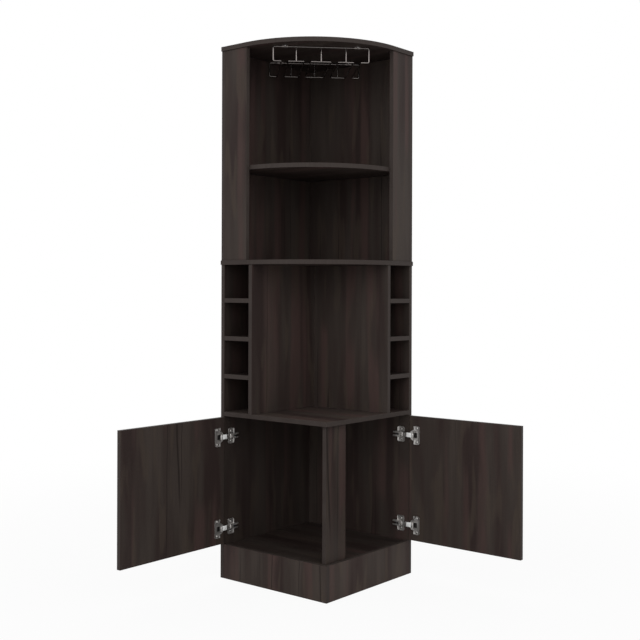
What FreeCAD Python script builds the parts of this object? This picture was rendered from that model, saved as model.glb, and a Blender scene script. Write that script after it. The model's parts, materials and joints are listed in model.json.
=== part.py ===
import FreeCAD, Part
import math
import os
import re

# Corner bar cabinet in laminate board, with a cupboard, bottle cubbies, display shelves and a stemware rack.
# Millimetres. The origin is the back corner on the floor, where the two room walls meet. The left wall runs
# along -Y, the right wall along +X, and +Z is up. Both doors stand open at a right angle.

DIMENSIONS = {
    # Carcass
    "cabinet_height": "1800",
    "cabinet_depth": "464",
    "board": "15",
    "edge_round": "0.8",
    "floor_height": "115",
    "counter_height": "564",
    "mid_height": "1076",
    "shelf_height": "1393",
    "overhang": "4",
    "cubby_width": "112",
    "facing_width": "100",
    "post_width": "100",
    "post_clearance": "2",
    "corner_block": "40",
    # Doors
    "door_gap": "3.5",
    "door_side_gap": "2",
    "door_lap_gap": "3",
    "hinge_axis_in": "8.6",
    "hinge_axis_back": "4.6",
    "upper_hinge_inset": "65.5",
    "lower_hinge_inset": "53.5",
    # Hinge cup and flange
    "cup_radius": "17.5",
    "cup_depth": "11.5",
    "cup_offset": "22",
    "cup_wall": "1",
    "flange_thickness": "1.5",
    "flange_rim": "0.8",
    "wing_offset": "9.5",
    "wing_width": "23",
    "wing_height": "62",
    "wing_corner": "4",
    "window_start": "21",
    "window_length": "11",
    "window_height": "16",
    "cup_screw_spacing": "48",
    "ear_width": "7",
    "ear_thickness": "1.5",
    # Hinge link and its pin
    "pin_radius": "1.5",
    "pin_offset": "17",
    "pin_rise": "5",
    "link_length": "44",
    "link_thickness": "3",
    "link_width": "13.6",
    "link_waist_width": "17",
    "link_shoulder": "7",
    "waist_gap": "4.8",
    "link_head_radius": "3.2",
    "link_tail_radius": "2.5",
    "link_side_gap": "0.5",
    # Hinge arm and mounting plate
    "plate_setback": "19",
    "plate_length": "27",
    "plate_height": "52",
    "plate_thickness": "2",
    "plate_corner": "4",
    "plate_screw_inset": "13",
    "plate_screw_spacing": "32",
    "rib_gap": "3",
    "rib_length": "24",
    "arm_length": "41",
    "arm_wall": "1.5",
    "nose_gap": "5.3",
    "nose_side_gap": "0.7",
    "arm_fork_length": "11",
    "arm_fork_width": "8",
    "arm_screw_inset": "4",
    "arm_screw_spacing": "7",
    # Stemware rack
    "wire_radius": "2.25",
    "drop_thinner": "0.2",
    "wire_bend": "5",
    "rack_front_setback": "78.6",
    "rack_wall_gap": "2",
    "rack_slot": "23",
    "middle_loop": "67",
    "side_loop": "53",
    "rail_width": "27",
    "rack_drop": "48",
    "rack_turn": "9",
    "clip_length": "20",
    "clip_width": "32",
    "clip_thickness": "1.5",
    "clip_screw_spacing": "20",
    # Fasteners
    "fit_clearance": "0.05",
    "hole_end_gap": "0.5",
    "dowel_radius": "4",
    "dowel_length": "24",
    "dowel_depth": "8",
    "stack_dowel_depth": "14",
    "wall_screw_radius": "2.5",
    "wall_screw_length": "50",
    "wall_screw_head_radius": "4.5",
    "wall_screw_head": "3",
    "wood_screw_radius": "1.75",
    "wood_screw_length": "12",
    "wood_screw_head_radius": "3.6",
    "wood_screw_head": "1.8",
    "arm_screw_radius": "2",
    "arm_screw_length": "8",
    "arm_screw_head_radius": "3",
    "arm_screw_head": "1.5",
    "socket_radius": "2.3",
    "socket_depth": "2",
    "cross_length": "3.6",
    "cross_width": "0.9",
    "cross_depth": "1",
    "screw_inset": "64",
    "front_inset": "85",
}

doc = FreeCAD.newDocument("corner_bar_cabinet")
sizes = doc.addObject("Spreadsheet::Sheet", "sizes")
for row, (alias, value) in enumerate(DIMENSIONS.items(), start=1):
    sizes.set(f"A{row}", alias)
    sizes.set(f"B{row}", value)
    sizes.setAlias(f"B{row}", alias)
doc.recompute()

ALIAS = re.compile(r"\b(" + "|".join(DIMENSIONS) + r")\b")
X_AXIS = FreeCAD.Vector(1, 0, 0)
Y_AXIS = FreeCAD.Vector(0, 1, 0)
Z_AXIS = FreeCAD.Vector(0, 0, 1)
TURN = {
    "+x": FreeCAD.Rotation(Y_AXIS, 90),
    "-x": FreeCAD.Rotation(Y_AXIS, -90),
    "+y": FreeCAD.Rotation(X_AXIS, -90),
    "-y": FreeCAD.Rotation(X_AXIS, 90),
    "+z": FreeCAD.Rotation(),
    "-z": FreeCAD.Rotation(X_AXIS, 180),
}
RACK_TURN = FreeCAD.Rotation(Z_AXIS, 45)
CUBBY_SHELVES = 3

# Levels and places that several pieces share, as formulas of the driving dimensions
FLOOR_UNDER = "(floor_height - board)"
COUNTER_UNDER = "(counter_height - board)"
MID_UNDER = "(mid_height - board)"
TOP_UNDER = "(cabinet_height - board)"
SHELF_UNDER = "(shelf_height - board)"
HALF_BOARD = "(board / 2)"
FLOOR_MIDDLE = f"({FLOOR_UNDER} + {HALF_BOARD})"
COUNTER_MIDDLE = f"({COUNTER_UNDER} + {HALF_BOARD})"
SHELF_MIDDLE = f"({SHELF_UNDER} + {HALF_BOARD})"
BEHIND_FRONT = "(cabinet_depth - board)"
DIVIDER_IN = "(board + cubby_width)"
DIVIDER_OUT = "(2 * board + cubby_width)"
DOOR_OUT = "(hinge_axis_in - hinge_axis_back)"
DOOR_IN = f"({DOOR_OUT} + board)"
DOOR_EDGE = "(cabinet_depth + board + door_side_gap - hinge_axis_in - hinge_axis_back)"
LEFT_DOOR_WIDTH = "(cabinet_depth - board - door_side_gap)"
RIGHT_DOOR_WIDTH = f"({LEFT_DOOR_WIDTH} - board - door_lap_gap)"
DOOR_BOTTOM = "(floor_height + door_gap)"
DOOR_HEIGHT = f"({COUNTER_UNDER} - floor_height - 2 * door_gap)"
CUBBY_HEIGHT = f"(({MID_UNDER} - counter_height - {CUBBY_SHELVES} * board) / {CUBBY_SHELVES + 1})"
UPPER_HINGE = f"({COUNTER_UNDER} - door_gap - upper_hinge_inset)"
LOWER_HINGE = f"({DOOR_BOTTOM} + lower_hinge_inset)"
SIDE_DROP = "(middle_loop / 2 + rack_slot + side_loop / 2)"
OUTER_SLOT = "(middle_loop / 2 + rack_slot * 3 / 2 + side_loop)"
HALF_RACK = "(middle_loop / 2 + rack_slot * 2 + side_loop + rail_width)"
RACK_REAR = f"({HALF_RACK} + (board + wire_radius) * sqrt(2) + rack_wall_gap)"
RACK_FRONT = ("((board + facing_width) * (sqrt(2) - 1) + cabinet_depth + overhang"
              " - rack_front_setback)")
BAR_LEVEL = f"({TOP_UNDER} - wire_radius)"
LOOP_LEVEL = f"({BAR_LEVEL} - rack_drop)"

nodes = {}
boards = {}
bores = {}


def size(alias):
    """A driving dimension as a number."""
    return float(sizes.get(alias))


def bind(thing, formulas):
    """Ties properties of an object to formulas of the driving dimensions."""
    for name, formula in formulas.items():
        thing.setExpression(name, ALIAS.sub(r"sizes.\1", formula))


def place(thing, at):
    """Ties the place of an object to three formulas."""
    bind(thing, {f"Placement.Base.{axis}": formula for axis, formula in zip("xyz", at)})


def block(name, low, extent):
    """A plain block from its lowest corner."""
    solid = doc.addObject("Part::Box", name)
    bind(solid, dict(zip(("Length", "Width", "Height"), extent)))
    place(solid, low)
    return solid


def rod(name, radius, length, at, axis):
    """A round rod from one end along an axis."""
    solid = doc.addObject("Part::Cylinder", name)
    solid.Placement = FreeCAD.Placement(FreeCAD.Vector(), TURN[axis])
    bind(solid, {"Radius": radius, "Height": length})
    place(solid, at)
    return solid


def joined(name, pieces):
    """Several shapes fused into one solid."""
    solid = doc.addObject("Part::MultiFuse", name)
    solid.Shapes = pieces
    return solid


def group(name, pieces):
    """Several separate solids kept together."""
    solids = doc.addObject("Part::Compound", name)
    solids.Links = pieces
    return solids


def cut(name, base, tools):
    """A shape with others taken away from it."""
    solid = doc.addObject("Part::Cut", name)
    solid.Base = base
    solid.Tool = tools[0] if len(tools) == 1 else joined(name + "_tools", tools)
    return solid


def mirrored(name, source):
    """The same piece on the other side of the upright plane through the back and front corners."""
    solid = doc.addObject("Part::Mirroring", name)
    solid.Source = source
    solid.Normal = X_AXIS + Y_AXIS
    return solid


def slab_body(name, low, extent):
    """A body that starts as a slab; returns the body and its slab."""
    body = doc.addObject("PartDesign::Body", name + "_body")
    slab = body.newObject("PartDesign::AdditiveBox", name + "_slab")
    bind(slab, dict(zip(("Length", "Width", "Height"), extent)))
    place(body, low)
    doc.recompute()
    return body, slab


def round_edges(body, name, base, edges, radius):
    """Rounds the named edges of a body's last feature."""
    rounding = body.newObject("PartDesign::Fillet", name)
    rounding.Base = (base, edges)
    bind(rounding, {"Radius": radius})
    doc.recompute()
    return rounding


def edges_along(shape, axis):
    """Names of the straight edges of a shape that run along an axis."""
    return [f"Edge{number}" for number, edge in enumerate(shape.Edges, start=1)
            if abs(abs(edge.tangentAt(edge.FirstParameter).dot(axis)) - 1) < Part.Precision.confusion()]


def ease(body, name, base):
    """Eases every edge of a board as its edge band is."""
    every_edge = [f"Edge{number}" for number in range(1, len(base.Shape.Edges) + 1)]
    round_edges(body, name + "_easing", base, every_edge, "edge_round")


def board(name, low, extent):
    """A flat board with eased edges."""
    body, slab = slab_body(name, low, extent)
    ease(body, name, slab)
    boards[name] = body
    bores[name] = []


def round_front_board(name, low, side, corner_radius):
    """A square board whose front corner is a large arc."""
    body, slab = slab_body(name, low, (side, side, "board"))
    upright = edges_along(slab.Shape, Z_AXIS)
    front = max(upright, key=lambda edge: slab.Shape.getElement(edge).CenterOfMass.dot(X_AXIS - Y_AXIS))
    arc = round_edges(body, name + "_arc", slab, [front], corner_radius)
    ease(body, name, arc)
    boards[name] = body
    bores[name] = []


def corner_plate(name, low, extent, axis, corner):
    """A thin plate whose corners are rounded about an axis."""
    body, slab = slab_body(name, low, extent)
    round_edges(body, name + "_corners", slab, edges_along(slab.Shape, axis), corner)
    return body


def shifted(at, axis, distance):
    """A place moved along an axis by a formula."""
    sign, letter = axis
    moved = list(at)
    number = "xyz".index(letter)
    moved[number] = f"({at[number]}) {sign} ({distance})"
    return moved


def reverse(axis):
    """The opposite direction along an axis."""
    return {"+": "-", "-": "+"}[axis[0]] + axis[1]


def dowel(name, at, axis, length, depth):
    """A dowel that enters the first board by a depth and the second by the rest; returns dowel and hole."""
    start = shifted(at, reverse(axis), depth)
    pin = rod(name, "dowel_radius", length, start, axis)
    hole_start = shifted(start, reverse(axis), "hole_end_gap")
    hole_length = f"({length}) + 2 * hole_end_gap"
    hole = rod(name + "_hole", "dowel_radius + fit_clearance", hole_length, hole_start, axis)
    return pin, hole


def socket(name, face, axis):
    """The six-sided recess in the head of a wall screw."""
    recess = doc.addObject("Part::Prism", name)
    recess.Polygon = 6
    recess.Placement = FreeCAD.Placement(FreeCAD.Vector(), TURN[axis])
    bind(recess, {"Circumradius": "socket_radius", "Height": "socket_depth"})
    place(recess, face)
    return recess


def cross(name, face, axis):
    """The cross recess in the head of a small screw."""
    sign, letter = axis
    depth = "xyz".index(letter)
    slots = []
    for number, wide in enumerate(set(range(3)) - {depth}):
        extent = ["cross_width"] * 3
        extent[wide] = "cross_length"
        extent[depth] = "cross_depth"
        low = [f"({start}) - {length} / 2" for start, length in zip(face, extent)]
        low[depth] = face[depth] if sign == "+" else f"({face[depth]}) - cross_depth"
        slots.append(block(f"{name}_{number}", low, extent))
    return joined(name, slots)


def screw(name, kind, seat, axis):
    """A screw, sunk flush into a wall or with its head on a seat; returns screw and hole."""
    sunk = kind == "wall_screw"
    head = rod(name + "_head", f"{kind}_head_radius", f"{kind}_head", seat, axis if sunk else reverse(axis))
    shank = rod(name + "_shank", f"{kind}_radius", f"{kind}_length", seat, axis)
    hole = rod(name + "_hole", f"{kind}_radius + fit_clearance", f"{kind}_length + hole_end_gap", seat, axis)
    if sunk:
        sink = rod(name + "_sink", f"{kind}_head_radius + fit_clearance", f"{kind}_head", seat, axis)
        hole = joined(name + "_bore", [hole, sink])
        recess = socket(name + "_socket", seat, axis)
    else:
        recess = cross(name + "_cross", shifted(seat, reverse(axis), f"{kind}_head"), axis)
    return cut(name, joined(name + "_whole", [head, shank]), [recess]), hole


# Carcass boards of the lower section
board("lower_left_wall", ("0", "-cabinet_depth", "0"), ("board", "cabinet_depth", MID_UNDER))
board("lower_right_wall", ("board", "-board", "0"), (BEHIND_FRONT, "board", MID_UNDER))
board("plinth_left_board", ("board", "-cabinet_depth", "0"), (BEHIND_FRONT, "board", "floor_height"))
board("plinth_right_board", (BEHIND_FRONT, f"-{BEHIND_FRONT}", "0"),
      ("board", "cabinet_depth - 2 * board", "floor_height"))
board("plinth_corner_block", (f"{BEHIND_FRONT} - corner_block", f"-{BEHIND_FRONT}", "0"),
      ("corner_block", "corner_block", FLOOR_UNDER))
board("bottom_panel", ("board", f"-{BEHIND_FRONT}", FLOOR_UNDER),
      ("cabinet_depth - 2 * board", "cabinet_depth - 2 * board", "board"))
board("corner_post",
      (f"{BEHIND_FRONT} - board - post_clearance", f"post_clearance - {BEHIND_FRONT}", "floor_height"),
      ("board", "post_width", f"{COUNTER_UNDER} - floor_height"))
board("counter_panel", ("board", "-cabinet_depth", COUNTER_UNDER), (BEHIND_FRONT, BEHIND_FRONT, "board"))

# Cubby columns beside the bar niche
NICHE_HEIGHT = f"({MID_UNDER} - counter_height)"
board("left_divider", (DIVIDER_IN, "-cabinet_depth", "counter_height"), ("board", BEHIND_FRONT, NICHE_HEIGHT))
board("right_divider", (DIVIDER_OUT, f"-{DIVIDER_OUT}", "counter_height"),
      (f"cabinet_depth - {DIVIDER_OUT}", "board", NICHE_HEIGHT))
cubby_levels = [f"(counter_height + {number} * {CUBBY_HEIGHT} + {number - 1} * board)"
                for number in range(1, CUBBY_SHELVES + 1)]
for number, level in enumerate(cubby_levels, start=1):
    board(f"left_cubby_shelf_{number}", ("board", "-cabinet_depth", level),
          ("cubby_width", BEHIND_FRONT, "board"))
    board(f"right_cubby_shelf_{number}", (DIVIDER_OUT, f"-{DIVIDER_IN}", level),
          (f"cabinet_depth - {DIVIDER_OUT}", "cubby_width", "board"))

# Upper section, between the rounded middle shelf and the rounded top
UPPER_HEIGHT = f"({TOP_UNDER} - mid_height)"
FULL_SIDE = "(cabinet_depth + overhang)"
FRONT_ARC = f"({FULL_SIDE} - board - facing_width)"
round_front_board("mid_shelf", ("0", f"-{FULL_SIDE}", MID_UNDER), FULL_SIDE, FRONT_ARC)
board("upper_left_wall", ("0", "-cabinet_depth", "mid_height"), ("board", "cabinet_depth", UPPER_HEIGHT))
board("upper_right_wall", ("board", "-board", "mid_height"), (BEHIND_FRONT, "board", UPPER_HEIGHT))
board("left_facing", ("board", "-cabinet_depth", "mid_height"), ("facing_width", "board", UPPER_HEIGHT))
board("right_facing", (BEHIND_FRONT, "-board - facing_width", "mid_height"),
      ("board", "facing_width", UPPER_HEIGHT))
round_front_board("curved_shelf", ("board", f"-{BEHIND_FRONT}", SHELF_UNDER), "(cabinet_depth - 2 * board)",
                  f"{BEHIND_FRONT} - board - facing_width")
round_front_board("top_panel", ("0", f"-{FULL_SIDE}", TOP_UNDER), FULL_SIDE, FRONT_ARC)

# Doors, inset between the walls when shut; the left one laps the free edge of the right one
board("left_door", (DOOR_OUT, f"-{DOOR_EDGE} - {LEFT_DOOR_WIDTH}", DOOR_BOTTOM),
      ("board", LEFT_DOOR_WIDTH, DOOR_HEIGHT))
board("right_door", (DOOR_EDGE, f"-{DOOR_IN}", DOOR_BOTTOM), (RIGHT_DOOR_WIDTH, "board", DOOR_HEIGHT))

# Places along a wall, from the back corner, for pairs of dowels or screws
NEAR = "screw_inset + board"
FAR = "cabinet_depth - front_inset"
HALFWAY = "cabinet_depth / 2"
DEEP_NEAR = f"{DIVIDER_OUT} + screw_inset"
DEEP_FAR = "cabinet_depth - screw_inset"
MID_FACING = "(board + facing_width / 2)"

panel_dowels = []


def join(first, second, at, axis):
    """Dowels one board into another at a place on the face between them."""
    pin, hole = dowel(f"dowel_{len(panel_dowels) + 1}", at, axis, "dowel_length", "dowel_depth")
    panel_dowels.append(pin)
    bores[first].append(hole)
    bores[second].append(hole)


for number, level in enumerate(cubby_levels, start=1):
    middle = f"{level} + {HALF_BOARD}"
    for along in (NEAR, FAR):
        join("lower_left_wall", f"left_cubby_shelf_{number}", ("board", f"-({along})", middle), "+x")
        join("left_divider", f"left_cubby_shelf_{number}", (DIVIDER_IN, f"-({along})", middle), "-x")
    for along in (DEEP_NEAR, DEEP_FAR):
        join("lower_right_wall", f"right_cubby_shelf_{number}", (along, "-board", middle), "-y")
        join("right_divider", f"right_cubby_shelf_{number}", (along, f"-{DIVIDER_IN}", middle), "+y")
LEFT_MIDDLE = f"{DIVIDER_IN} + {HALF_BOARD}"
for along in (NEAR, FAR):
    join("counter_panel", "left_divider", (LEFT_MIDDLE, f"-({along})", "counter_height"), "+z")
    join("mid_shelf", "left_divider", (LEFT_MIDDLE, f"-({along})", MID_UNDER), "-z")
    join("upper_left_wall", "curved_shelf", ("board", f"-({along})", SHELF_MIDDLE), "+x")
    join("upper_right_wall", "curved_shelf", (along, "-board", SHELF_MIDDLE), "-y")
for along in (NEAR, HALFWAY):
    join("plinth_left_board", "bottom_panel", (along, f"-{BEHIND_FRONT}", FLOOR_MIDDLE), "+y")
    join("plinth_right_board", "bottom_panel", (BEHIND_FRONT, f"-({along})", FLOOR_MIDDLE), "-x")
for along in (DEEP_NEAR, DEEP_FAR):
    join("counter_panel", "right_divider", (along, f"-({LEFT_MIDDLE})", "counter_height"), "+z")
    join("mid_shelf", "right_divider", (along, f"-({LEFT_MIDDLE})", MID_UNDER), "-z")
for level in (f"counter_height + {CUBBY_HEIGHT} / 2", f"{MID_UNDER} - {CUBBY_HEIGHT} / 2"):
    join("left_divider", "right_divider", (DIVIDER_OUT, f"-({LEFT_MIDDLE})", level), "+x")
FRONT_MIDDLE = f"(cabinet_depth - {HALF_BOARD})"
for level in ("mid_height + screw_inset", f"mid_height + {UPPER_HEIGHT} / 2", f"{TOP_UNDER} - screw_inset"):
    join("upper_left_wall", "left_facing", ("board", f"-{FRONT_MIDDLE}", level), "+x")
    join("upper_right_wall", "right_facing", (FRONT_MIDDLE, "-board", level), "-y")
join("mid_shelf", "left_facing", (MID_FACING, f"-{FRONT_MIDDLE}", "mid_height"), "+z")
join("mid_shelf", "right_facing", (FRONT_MIDDLE, f"-{MID_FACING}", "mid_height"), "+z")
join("plinth_left_board", "plinth_right_board", (FRONT_MIDDLE, f"-{BEHIND_FRONT}", "floor_height / 2"), "+y")
POST_MIDDLE = f"{BEHIND_FRONT} - post_clearance - {HALF_BOARD}"
for share in ("post_width / 4", "post_width * 3 / 4"):
    along = f"post_clearance - {BEHIND_FRONT} + {share}"
    join("bottom_panel", "corner_post", (POST_MIDDLE, along, "floor_height"), "+z")
    join("counter_panel", "corner_post", (POST_MIDDLE, along, COUNTER_UNDER), "-z")
nodes["panel_dowels"] = group("panel_dowels", panel_dowels)

# Long dowels through the middle shelf line up the walls of the two sections
stacking_dowels = []
STACK_LENGTH = "board + 2 * stack_dowel_depth"
for along in (NEAR, FAR):
    for side, at in (("left", (HALF_BOARD, f"-({along})", MID_UNDER)),
                     ("right", (along, f"-{HALF_BOARD}", MID_UNDER))):
        number = len(stacking_dowels) + 1
        pin, hole = dowel(f"stacking_dowel_{number}", at, "+z", STACK_LENGTH, "stack_dowel_depth")
        stacking_dowels.append(pin)
        for name in (f"lower_{side}_wall", "mid_shelf", f"upper_{side}_wall"):
            bores[name].append(hole)
nodes["stacking_dowels"] = group("stacking_dowels", stacking_dowels)

wall_screws = []
top_screws = []


def fasten(screws, first, second, at, axis):
    """Screws through the face of one board into the edge of another."""
    name = f"{first}_screw_{len(screws) + 1}"
    fastener, hole = screw(name, "wall_screw", at, axis)
    screws.append(fastener)
    bores[first].append(hole)
    bores[second].append(hole)


for panel, level in (("bottom_panel", FLOOR_MIDDLE), ("counter_panel", COUNTER_MIDDLE)):
    for along in (NEAR, FAR):
        fasten(wall_screws, "lower_left_wall", panel, ("0", f"-({along})", level), "+x")
        fasten(wall_screws, "lower_right_wall", panel, (along, "0", level), "-y")
HALF_PLINTH = "floor_height / 2"
fasten(wall_screws, "lower_left_wall", "plinth_left_board", ("0", f"-{FRONT_MIDDLE}", HALF_PLINTH), "+x")
fasten(wall_screws, "lower_right_wall", "plinth_right_board", (FRONT_MIDDLE, "0", HALF_PLINTH), "-y")
corner_levels = {
    "lower": ("floor_height + screw_inset", f"{COUNTER_UNDER} - screw_inset", f"{MID_UNDER} - screw_inset"),
    "upper": ("mid_height + screw_inset", f"{SHELF_UNDER} - screw_inset", f"{TOP_UNDER} - screw_inset"),
}
for section, levels in corner_levels.items():
    for level in levels:
        at = ("0", f"-{HALF_BOARD}", level)
        fasten(wall_screws, f"{section}_left_wall", f"{section}_right_wall", at, "+x")
for along in (NEAR, FAR):
    fasten(top_screws, "top_panel", "upper_left_wall", (HALF_BOARD, f"-({along})", "cabinet_height"), "-z")
    fasten(top_screws, "top_panel", "upper_right_wall", (along, f"-{HALF_BOARD}", "cabinet_height"), "-z")
fasten(top_screws, "top_panel", "left_facing", (MID_FACING, f"-{FRONT_MIDDLE}", "cabinet_height"), "-z")
fasten(top_screws, "top_panel", "right_facing", (FRONT_MIDDLE, f"-{MID_FACING}", "cabinet_height"), "-z")
nodes["wall_screws"] = group("wall_screws", wall_screws)
nodes["top_screws"] = group("top_screws", top_screws)

# Concealed hinges. One side is built here, and the other is its mirror image.
PIN_ALONG = f"({DOOR_EDGE} + pin_offset)"
PIN_ACROSS = f"({DOOR_IN} + pin_rise)"
EAR_GAP = "(link_width + 2 * link_side_gap)"
EAR_SPAN = f"({EAR_GAP} + 2 * ear_thickness)"
CUP_ALONG = f"({DOOR_EDGE} + cup_offset)"
WING_ALONG = f"({CUP_ALONG} + wing_offset)"
FLANGE_TOP = f"({DOOR_IN} + flange_thickness)"
CUP_BODY_DEPTH = "(cup_depth - hole_end_gap)"
PLATE_TOP = "(board + plate_thickness)"
PLATE_FRONT = "(cabinet_depth - plate_setback)"
ARM_INSIDE = "(link_width + 2 * nose_side_gap)"
ARM_WIDTH = f"({ARM_INSIDE} + 2 * arm_wall)"
LINK_TOP = f"({PIN_ACROSS} + link_thickness / 2)"
RIB_RISE = f"({LINK_TOP} - {PLATE_TOP})"
NOSE_LENGTH = f"({PLATE_FRONT} - {PIN_ALONG} + link_length + link_tail_radius + nose_gap)"
RIB_FRONT = f"({PLATE_FRONT} - {NOSE_LENGTH} - rib_gap)"
hinge_door_holes = []
hinge_wall_holes = []
hinge_groups = {"cup_screws": [], "hinge_pins": [], "plate_screws": [], "arm_screws": []}


def hinge_cup(name, level):
    """The pressed cup in the door with its flange and the two ears that hold the pin."""
    shell = rod(name + "_shell", "cup_radius - fit_clearance", CUP_BODY_DEPTH,
                (f"{DOOR_IN} - {CUP_BODY_DEPTH}", f"-{CUP_ALONG}", level), "+x")
    rim = rod(name + "_rim", "cup_radius + flange_rim", "flange_thickness",
              (DOOR_IN, f"-{CUP_ALONG}", level), "+x")
    wings = corner_plate(name + "_wings",
                         (DOOR_IN, f"-{WING_ALONG} - wing_width / 2", f"{level} - wing_height / 2"),
                         ("flange_thickness", "wing_width", "wing_height"), X_AXIS, "wing_corner")
    ears = []
    for side, low in (("lower", f"{level} - {EAR_SPAN} / 2"), ("upper", f"{level} + {EAR_GAP} / 2")):
        ears.append(block(f"{name}_{side}_ear", (FLANGE_TOP, f"-{PIN_ALONG} - ear_width / 2", low),
                          ("pin_rise - flange_thickness + ear_width / 2", "ear_width", "ear_thickness")))
    cavity = rod(name + "_cavity", "cup_radius - fit_clearance - cup_wall", f"{CUP_BODY_DEPTH} - cup_wall",
                 (f"{DOOR_IN} - {CUP_BODY_DEPTH} + cup_wall", f"-{CUP_ALONG}", level), "+x")
    window = block(name + "_window",
                   (DOOR_IN, f"-{DOOR_EDGE} - window_start - window_length", f"{level} - window_height / 2"),
                   ("flange_thickness", "window_length", "window_height"))
    pin_low = f"{level} - {EAR_SPAN} / 2"
    pin_hole = rod(name + "_pin_hole", "pin_radius", EAR_SPAN, (PIN_ACROSS, f"-{PIN_ALONG}", pin_low), "+z")
    pin = rod(name + "_pin", "pin_radius", EAR_SPAN, (PIN_ACROSS, f"-{PIN_ALONG}", pin_low), "+z")
    holes = []
    for side, offset in (("lower", "- cup_screw_spacing / 2"), ("upper", "+ cup_screw_spacing / 2")):
        seat = (FLANGE_TOP, f"-{WING_ALONG}", f"{level} {offset}")
        fastener, hole = screw(f"{name}_{side}_screw", "wood_screw", seat, "-x")
        hinge_groups["cup_screws"].append(fastener)
        holes.append(hole)
    hinge_groups["hinge_pins"].append(pin)
    pocket = rod(name + "_pocket", "cup_radius", "cup_depth",
                 (f"{DOOR_IN} - cup_depth", f"-{CUP_ALONG}", level), "+x")
    hinge_door_holes.extend([pocket] + holes)
    whole = joined(name + "_whole", [shell, rim, wings] + ears)
    return cut(name, whole, [cavity, window, pin_hole] + holes)


def hinge_link(name, level):
    """The link that turns on the pin in the cup and reaches back to the arm."""
    strip = block(name + "_strip",
                  (f"{PIN_ACROSS} - link_thickness / 2", f"-{PIN_ALONG}", f"{level} - link_width / 2"),
                  ("link_thickness", "link_length", "link_width"))
    waist = block(name + "_waist",
                  (f"{PIN_ACROSS} - link_thickness / 2", f"link_shoulder - {PIN_ALONG}",
                   f"{level} - link_waist_width / 2"),
                  ("link_thickness", f"{PIN_ALONG} - link_shoulder - {PLATE_FRONT} - waist_gap",
                   "link_waist_width"))
    head = rod(name + "_head", "link_head_radius", "link_width",
               (PIN_ACROSS, f"-{PIN_ALONG}", f"{level} - link_width / 2"), "+z")
    tail = rod(name + "_tail", "link_tail_radius", "link_width",
               (PIN_ACROSS, f"link_length - {PIN_ALONG}", f"{level} - link_width / 2"), "+z")
    eye = rod(name + "_eye", "pin_radius + fit_clearance", "link_width",
              (PIN_ACROSS, f"-{PIN_ALONG}", f"{level} - link_width / 2"), "+z")
    return cut(name, joined(name + "_whole", [strip, waist, head, tail]), [eye])


def hinge_plate(name, level):
    """The mounting plate on the wall, with the rib that the arm is clamped on."""
    wings = corner_plate(name + "_wings", ("board", f"-{PLATE_FRONT}", f"{level} - plate_height / 2"),
                         ("plate_thickness", "plate_length", "plate_height"), X_AXIS, "plate_corner")
    rib = block(name + "_rib", (PLATE_TOP, f"-{RIB_FRONT}", f"{level} - {ARM_INSIDE} / 2 + link_side_gap"),
                (RIB_RISE, "rib_length", f"{ARM_INSIDE} - 2 * link_side_gap"))
    holes = []
    for side, offset in (("lower", "- plate_screw_spacing / 2"), ("upper", "+ plate_screw_spacing / 2")):
        seat = (PLATE_TOP, f"plate_screw_inset - {PLATE_FRONT}", f"{level} {offset}")
        fastener, hole = screw(f"{name}_{side}_screw", "wood_screw", seat, "-x")
        hinge_groups["plate_screws"].append(fastener)
        holes.append(hole)
    hinge_wall_holes.extend(holes)
    return joined(name + "_whole", [wings, rib]), holes


def hinge_arm(name, level):
    """The channel-shaped arm over the rib, open at its nose for the link and forked at its tail."""
    low = f"{level} - {ARM_WIDTH} / 2"
    inside_low = f"{level} - {ARM_INSIDE} / 2"
    whole = block(name + "_whole", (PLATE_TOP, f"-{PLATE_FRONT}", low),
                  (f"{RIB_RISE} + arm_wall", "arm_length", ARM_WIDTH))
    channel = block(name + "_channel", (PLATE_TOP, f"-{PLATE_FRONT}", inside_low),
                    (RIB_RISE, "arm_length", ARM_INSIDE))
    nose = block(name + "_nose", (LINK_TOP, f"-{PLATE_FRONT}", inside_low),
                 ("arm_wall", NOSE_LENGTH, ARM_INSIDE))
    fork = block(name + "_fork", (LINK_TOP, f"arm_length - arm_fork_length - {PLATE_FRONT}",
                                  f"{level} - arm_fork_width / 2"),
                 ("arm_wall", "arm_fork_length", "arm_fork_width"))
    holes = []
    for place_name, along in (("front", "arm_screw_inset"), ("rear", "arm_screw_inset + arm_screw_spacing")):
        seat = (f"{LINK_TOP} + arm_wall", f"({along}) - {RIB_FRONT}", level)
        fastener, hole = screw(f"{name}_{place_name}_screw", "arm_screw", seat, "-x")
        hinge_groups["arm_screws"].append(fastener)
        holes.append(hole)
    return cut(name, whole, [channel, nose, fork] + holes), holes


for position, level in (("upper", UPPER_HINGE), ("lower", LOWER_HINGE)):
    stem = f"left_{position}_hinge"
    arm, arm_holes = hinge_arm(f"{stem}_arm", level)
    plate, plate_holes = hinge_plate(f"{stem}_plate", level)
    pieces = {
        "cup": hinge_cup(f"{stem}_cup", level),
        "link": hinge_link(f"{stem}_link", level),
        "arm": arm,
        "plate": cut(f"{stem}_plate", plate, plate_holes + arm_holes),
    }
    for piece, solid in pieces.items():
        nodes[f"{stem}_{piece}"] = solid
        nodes[f"right_{position}_hinge_{piece}"] = mirrored(f"right_{position}_hinge_{piece}", solid)
for piece, solids in hinge_groups.items():
    nodes[f"left_{piece}"] = group(f"left_{piece}", solids)
    nodes[f"right_{piece}"] = mirrored(f"right_{piece}", nodes[f"left_{piece}"])
door_holes = group("left_door_holes", hinge_door_holes)
wall_holes = group("left_wall_holes", hinge_wall_holes)
bores["left_door"].append(door_holes)
bores["right_door"].append(mirrored("right_door_holes", door_holes))
bores["lower_left_wall"].append(wall_holes)
bores["lower_right_wall"].append(mirrored("right_wall_holes", wall_holes))


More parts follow.
